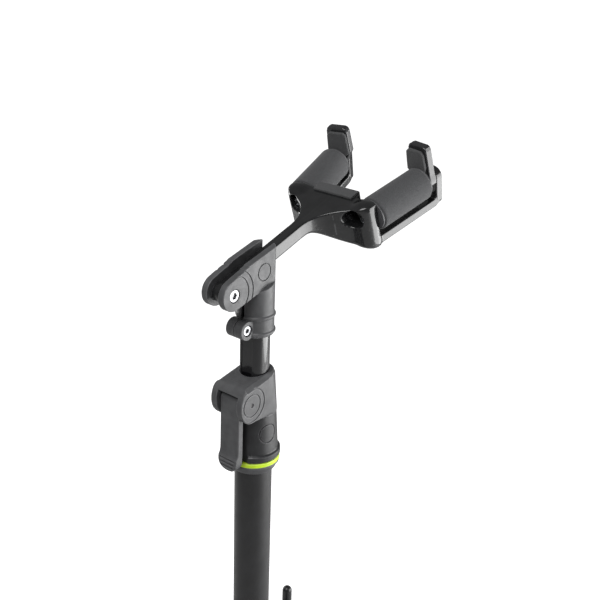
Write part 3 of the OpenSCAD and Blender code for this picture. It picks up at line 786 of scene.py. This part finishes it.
def material(name, color, roughness, metallic=0.0, coat=0.0):
    m = bpy.data.materials.new(name)
    m.use_nodes = True
    tree = m.node_tree
    shader = tree.nodes["Principled BSDF"]
    shader.inputs["Base Color"].default_value = (*color, 1)
    shader.inputs["Roughness"].default_value = roughness
    shader.inputs["Metallic"].default_value = metallic
    shader.inputs["Coat Weight"].default_value = coat
    return m, tree, shader


def noise(tree, scale, detail=3.0, stretch=(1, 1, 1)):
    """Noise over the object's own metres; scale is in cells per metre."""
    place_node = tree.nodes.new("ShaderNodeTexCoord")
    mapping = tree.nodes.new("ShaderNodeMapping")
    mapping.inputs["Scale"].default_value = stretch
    texture = tree.nodes.new("ShaderNodeTexNoise")
    texture.inputs["Scale"].default_value = scale
    texture.inputs["Detail"].default_value = detail
    tree.links.new(place_node.outputs["Object"], mapping.inputs["Vector"])
    tree.links.new(mapping.outputs["Vector"], texture.inputs["Vector"])
    return texture.outputs["Fac"]


def ramp(tree, source, low, high, at=(0.35, 0.65)):
    """Maps a factor between two values, each a float or a colour."""
    if isinstance(low, float):
        node = tree.nodes.new("ShaderNodeMapRange")
        for key, value in (("From Min", at[0]), ("From Max", at[1]), ("To Min", low), ("To Max", high)):
            node.inputs[key].default_value = value
        tree.links.new(source, node.inputs["Value"])
        return node.outputs["Result"]
    node = tree.nodes.new("ShaderNodeValToRGB")
    for element, place_at, color in zip(node.color_ramp.elements, at, (low, high)):
        element.position = place_at
        element.color = (*color, 1)
    tree.links.new(source, node.inputs["Fac"])
    return node.outputs["Color"]


def bumped(tree, shader, height, strength, distance):
    node = tree.nodes.new("ShaderNodeBump")
    node.inputs["Strength"].default_value = strength
    node.inputs["Distance"].default_value = distance
    tree.links.new(height, node.inputs["Height"])
    tree.links.new(node.outputs["Normal"], shader.inputs["Normal"])


def vary_roughness(tree, shader, grain, low, high):
    tree.links.new(ramp(tree, grain, low, high), shader.inputs["Roughness"])


def edge_wear(tree, amount=(0.51, 0.56)):
    """High on convex edges."""
    geometry = tree.nodes.new("ShaderNodeNewGeometry")
    return ramp(tree, geometry.outputs["Pointiness"], 0.0, 1.0, amount)


def mix(tree, factor, a, b):
    node = tree.nodes.new("ShaderNodeMix")
    node.data_type = "RGBA"
    tree.links.new(factor, node.inputs["Factor"])
    for value, key in ((a, 6), (b, 7)):
        if isinstance(value, tuple):
            node.inputs[key].default_value = (*value, 1)
        else:
            tree.links.new(value, node.inputs[key])
    return node.outputs[2]


def moulded(name, color, worn, roughness):
    """Glass-filled nylon: fine spark-eroded grain, faint mottling and lighter worn edges."""
    m, tree, shader = material(name, color, roughness)
    dark = tuple(c * 0.86 for c in color)
    light = tuple(min(1, c * 1.16) for c in color)
    base = ramp(tree, noise(tree, 140, 4), dark, light)
    tree.links.new(mix(tree, edge_wear(tree), base, worn), shader.inputs["Base Color"])
    vary_roughness(tree, shader, noise(tree, 260, 2), roughness - 0.06, roughness + 0.06)
    bumped(tree, shader, noise(tree, 2600, 2), 0.22, 0.0001)
    return m


def painted(name, color, roughness, coat, orange_peel=0.08):
    """Powder coat or gloss paint on metal, with a slight orange peel."""
    m, tree, shader = material(name, color, roughness, 0.0, coat)
    dark = tuple(c * 0.8 for c in color)
    light = tuple(min(1, c * 1.25) for c in color)
    base = ramp(tree, noise(tree, 90, 3), dark, light)
    worn = tuple(min(1, c * 3 + 0.03) for c in color)
    tree.links.new(mix(tree, edge_wear(tree, (0.54, 0.62)), base, worn), shader.inputs["Base Color"])
    vary_roughness(tree, shader, noise(tree, 180, 3), roughness - 0.05, roughness + 0.05)
    bumped(tree, shader, noise(tree, 700, 2), orange_peel, 0.0002)
    return m


def bare_metal(name, color, roughness):
    """Plated steel with fine turning marks."""
    m, tree, shader = material(name, color, roughness, 1.0)
    base = ramp(tree, noise(tree, 300, 3), tuple(c * 0.85 for c in color), color)
    tree.links.new(base, shader.inputs["Base Color"])
    vary_roughness(tree, shader, noise(tree, 900, 2), roughness - 0.05, roughness + 0.08)
    bumped(tree, shader, noise(tree, 3000, 1), 0.1, 0.00005)
    return m


def foam(name, color, cell, roughness=0.85):
    """Closed-cell foam: small pores, matt, with a soft sheen."""
    m, tree, shader = material(name, color, roughness)
    base = ramp(tree, noise(tree, cell, 4), tuple(c * 0.7 for c in color), tuple(c * 1.3 for c in color))
    tree.links.new(base, shader.inputs["Base Color"])
    shader.inputs["Sheen Weight"].default_value = 0.25
    shader.inputs["Sheen Roughness"].default_value = 0.5
    vary_roughness(tree, shader, noise(tree, cell / 2, 2), roughness - 0.08, roughness + 0.08)
    bumped(tree, shader, noise(tree, cell, 4), 0.5, 0.0002)
    return m


NYLON = moulded("nylon_moulded", (0.08, 0.081, 0.084), (0.16, 0.16, 0.165), 0.42)
NYLON_DARK = moulded("nylon_dark", (0.03, 0.031, 0.034), (0.09, 0.09, 0.095), 0.45)
HUB = moulded("hub_nylon", (0.06, 0.061, 0.065), (0.16, 0.16, 0.165), 0.48)
COLLAR = moulded("collar_nylon", (0.075, 0.076, 0.08), (0.18, 0.18, 0.185), 0.45)
ACCENT = moulded("accent_neon", (0.62, 0.9, 0.02), (0.75, 1.0, 0.2), 0.4)
TUBE = painted("tube_satin_black", (0.012, 0.012, 0.013), 0.36, 0.2, 0.1)
MAST = painted("mast_gloss_black", (0.006, 0.006, 0.007), 0.16, 0.8, 0.03)
CAST = painted("cast_gloss_black", (0.012, 0.0123, 0.013), 0.2, 0.4, 0.05)
TAB_FINISH = painted("tab_black", (0.02, 0.0205, 0.022), 0.3, 0.4, 0.08)
STEEL = bare_metal("plated_steel", (0.42, 0.425, 0.44), 0.26)
ZINC = bare_metal("shoe_zinc", (0.45, 0.46, 0.47), 0.4)
RUBBER = foam("rubber", (0.018, 0.018, 0.019), 1500, 0.6)
SLEEVE = moulded("sleeve_nylon", (0.022, 0.0225, 0.024), (0.1, 0.1, 0.105), 0.38)
FOAM = foam("foam_sleeve", (0.06, 0.061, 0.064), 2200)
PAD_FOAM = foam("pad_foam", (0.055, 0.056, 0.058), 2600)


# ------------------------------------------------------------------ pieces


def span(node, margin=1.5):
    """A node's box in the pole's frame, with some room around it."""
    low, high = box_mm(node)
    return low - pole - margin, high - pole + margin


def carve_node(node, shape, step, finish, body, slot):
    low, high = span(node)
    return carve(node + "_piece", shape, low, high, step, finish, body, (node,), slot)


FINE, COARSE, WIDE = ((0.3, 0.4, 0.7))


def main_castings():
    carve_node("yoke_casting", yoke_shape, COARSE, CAST, "yoke", "cast_black")
    carve_node("head_body", head_shape, FINE, NYLON, "mast", "nylon_grey")
    darken_sleeve(carve_node("clamp_body", clamp_shape, COARSE, NYLON, "base", "nylon_grey"))
    carve_node("clamp_lever", lever_shape, FINE, NYLON, "lever", "nylon_grey")


def darken_sleeve(clamp):
    """Gives the clamp's faces below its hood, the round sleeve, a darker colour."""
    clamp.data.materials.append(SLEEVE)
    hood_low = (lever_pivot[2] - CLAMP_R - 0.1) * MM
    for poly in clamp.data.polygons:
        if poly.center[2] < hood_low:
            poly.material_index = 1


ON_POLE = ((0, 0, 0), (0, 0, 1))
RING_BORE = 12.75


def tube_lathe(node, low, high, outer, inner, finish, body, slot, line=ON_POLE, lip=0.4):
    """A ring or tube that stands for one node, along a line given by its start and its direction."""
    outline = section([(low, inner), (low, outer), (high, outer), (high, inner)], lip)
    return lathe(node + "_piece", outline, *line, finish, body, (node,), slot)


def pole_pieces():
    """The two tubes, and the collar and accent ring below the clamp."""
    low, high = box_mm("lower_tube")
    tube_lathe("lower_tube", low[2], high[2], (high[1] - low[1]) / 2, 11.2, TUBE, "base", "tube_black")
    low, high = box_mm("upper_tube")[0][2], box_mm("upper_tube")[1][2]
    levels = [low, low + 0.5] + list(np.linspace(low + 1, high - 1, 24)) + [high - 0.5, high]
    prism("upper_tube_piece", mast_outline(), levels, MAST, "mast", ("upper_tube",), "mast_black")
    low, high = box_mm("collar_ring")[0][2], box_mm("collar_ring")[1][2]
    cone = [(low, RING_BORE), (low, 14.7), (high - 1.4, 17.2)]
    ring = cone + [(high - 1.4, 17.4), (high, 17.4), (high, RING_BORE)]
    outline = section(ring, 0.4, 3)
    lathe("collar_ring_piece", outline, *ON_POLE, COLLAR, "base", ("collar_ring",), "collar_grey")
    low, high = box_mm("accent_ring")[0][2], box_mm("accent_ring")[1][2]
    tube_lathe("accent_ring", low, high, 17.7, RING_BORE, ACCENT, "base", "accent_yellow", lip=0.7)


def leg_pieces():
    carve_node("leg_hub", hub_shape, WIDE, HUB, "base", "hub_grey")
    for which in LEGS:
        at, _, _, leg_len = leg_place(which)
        body, line = "leg_" + which, (at, leg_direction(which))
        carve_node("leg_knuckle_" + which, knuckle_shape(which), WIDE, HUB, body, "hub_grey")
        tube, ring, foot = "leg_tube_" + which, "foot_ring_" + which, "foot_" + which
        tube_lathe(tube, 24, leg_len - 8, LEG_R, LEG_R - LEG_WALL, TUBE, body, "tube_black", line)
        low, high = leg_len - 38, leg_len - 34.1
        tube_lathe(ring, low, high, 10, LEG_R + 0.05, ACCENT, body, "accent_yellow", line, 0.6)
        carve_node(foot, foot_shape(which), WIDE, RUBBER, body, "rubber_black")


def rest_pieces():
    carve_node("rest_collar", rest_collar_shape, WIDE, HUB, "rest", "hub_grey")
    carve_node("rest_fork", rest_fork_shape, WIDE, TUBE, "rest", "tube_black")
    carve_node("rest_knob", rest_knob_shape, WIDE, NYLON_DARK, "rest_knob", "nylon_black")
    for side in (1, -1):
        node = name_of("rest_sleeve", side)
        start = (FORK_ROOT[0], side * FORK_ROOT[1], rest_height())
        line = (start, (math.cos(FORK_SPREAD), side * math.sin(FORK_SPREAD), 0))
        sleeve = tube_lathe(node, 12, FORK_LEN - 8, 9.5, 4.35, FOAM, "rest", "foam_grey", line, 1.6)


def yoke_fittings():
    carve_node("yoke_strip", strip_shape, FINE, PAD_FOAM, "yoke", "rubber_black")
    for side in (1, -1):
        foam_name, tab_name = name_of("roller_foam", side), name_of("tab", side)
        roller_foam(side, foam_name + "_piece", name_of("roller", side), FOAM)
        pad_name, axle_name = name_of("tab_pad", side), name_of("axle", side)
        carve_node(tab_name, tab_shape(side), FINE, TAB_FINISH, tab_name, "tab_black")
        carve_node(pad_name, pad_shape(side), FINE, PAD_FOAM, tab_name, "rubber_black")
        carve_node(axle_name, axle_shape(side), 0.3, STEEL, "yoke", "bright_steel")


def bolts():
    pivot_bolt = bolt_shape(pivot, -CHEEK_Y + 0.4, CHEEK_Y - 0.6, 3, 4.1, 1.9)
    carve_node("pivot_bolt", pivot_bolt, 0.25, STEEL, "mast", "bright_steel")
    carve_node("pinch_screw", bolt_shape(PINCH, -6.1, 6.4, 2, 3.4, 1.5), 0.22, STEEL, "mast", "bright_steel")


FINISHES = {
    "tube_black": TUBE, "mast_black": MAST, "nylon_grey": NYLON, "nylon_black": NYLON_DARK,
    "collar_grey": COLLAR, "accent_yellow": ACCENT, "hub_grey": HUB, "bright_steel": STEEL,
    "shoe_zinc": ZINC, "cast_black": CAST,
    "tab_black": TAB_FINISH, "rubber_black": RUBBER, "foam_grey": FOAM,
}


def finish_cad_nodes():
    """Gives every carried-over node the finish of its material slot."""
    for obj in nodes.values():
        for place_at in obj.material_slots:
            name = place_at.material.name.split(".")[0]
            place_at.material = FINISHES.get(name, place_at.material)


# ------------------------------------------------------------------ camera, floor and lights


def camera():
    """The camera at the reference view's angle, aimed at a point below the yoke."""
    azimuth, elevation, roll = math.radians(-50.71), math.radians(22.4988), math.radians(1.88387)
    target = Vector((pole + pivot + np.array([29.3 + 44.37, 0, -26.905])) * MM)
    distance = 0.705253
    ca, sa, ce, se = math.cos(azimuth), math.sin(azimuth), math.cos(elevation), math.sin(elevation)
    back = Vector((sa * ce, -ca * ce, se))
    right = Vector((ca, sa, 0))
    up = back.cross(right)
    x_axis = math.cos(roll) * right + math.sin(roll) * up
    y_axis = math.cos(roll) * up - math.sin(roll) * right
    data = bpy.data.cameras.new("camera")
    data.lens = 63.208
    data.sensor_width = 36
    data.clip_start, data.clip_end = 0.01, 50
    cam = bpy.data.objects.new("camera", data)
    turn = Matrix((x_axis, y_axis, back)).transposed().to_4x4()
    cam.matrix_world = Matrix.Translation(target + distance * back) @ turn
    bpy.context.scene.collection.objects.link(cam)
    bpy.context.scene.camera = cam


def seen_strength(tree, lighting, seen):
    """One strength for light that reaches the object, and another for what the camera sees directly."""
    rays = tree.nodes.new("ShaderNodeLightPath")
    return ramp(tree, rays.outputs["Is Camera Ray"], lighting, seen, (0, 1))


def floor():
    """A pale floor: white to the camera, and dimmer in reflections, as behind a cut-out product picture."""
    bpy.ops.mesh.primitive_plane_add(size=40, location=(0, 0, 0))
    plane = bpy.context.object
    plane.name = "floor"
    finish, tree, shader = material("floor_pale", (0.6, 0.6, 0.6), 0.8)
    pale = ramp(tree, noise(tree, 3, 2), (0.59, 0.59, 0.59), (0.61, 0.61, 0.61))
    tree.links.new(pale, shader.inputs["Base Color"])
    shader.inputs["Emission Color"].default_value = (1, 1, 1, 1)
    tree.links.new(seen_strength(tree, 0.0, 1.0), shader.inputs["Emission Strength"])
    plane.data.materials.append(finish)


def soft_box(name, place_at, aim, size, power):
    data = bpy.data.lights.new(name, "AREA")
    data.shape = "RECTANGLE"
    data.size, data.size_y = size
    data.energy = power
    lamp = bpy.data.objects.new(name, data)
    lamp.location = place_at
    lamp.rotation_euler = (Vector(aim) - Vector(place_at)).to_track_quat("-Z", "Y").to_euler()
    bpy.context.scene.collection.objects.link(lamp)


def studio():
    world = bpy.data.worlds.new("studio")
    world.use_nodes = True
    sky = world.node_tree.nodes["Background"]
    sky.inputs["Color"].default_value = (1, 1, 1, 1)
    world.node_tree.links.new(seen_strength(world.node_tree, 0.17, 1.0), sky.inputs["Strength"])
    bpy.context.scene.world = world
    bpy.context.scene.view_settings.view_transform = "Standard"
    centre = (0.06, 0, 0.55)
    soft_box("right_softbox", (0.8, -0.88, 0.43), centre, (1.3, 0.84), 19)
    soft_box("top_softbox", (-0.73, -0.14, 1.7), centre, (1, 1), 17)
    soft_box("left_strip", (0.26, 1.1, 0.5), centre, (0.3, 0.9), 3.5)


camera()
floor()
studio()
finish_cad_nodes()
main_castings()
yoke_fittings()
bolts()
pole_pieces()
leg_pieces()
rest_pieces()
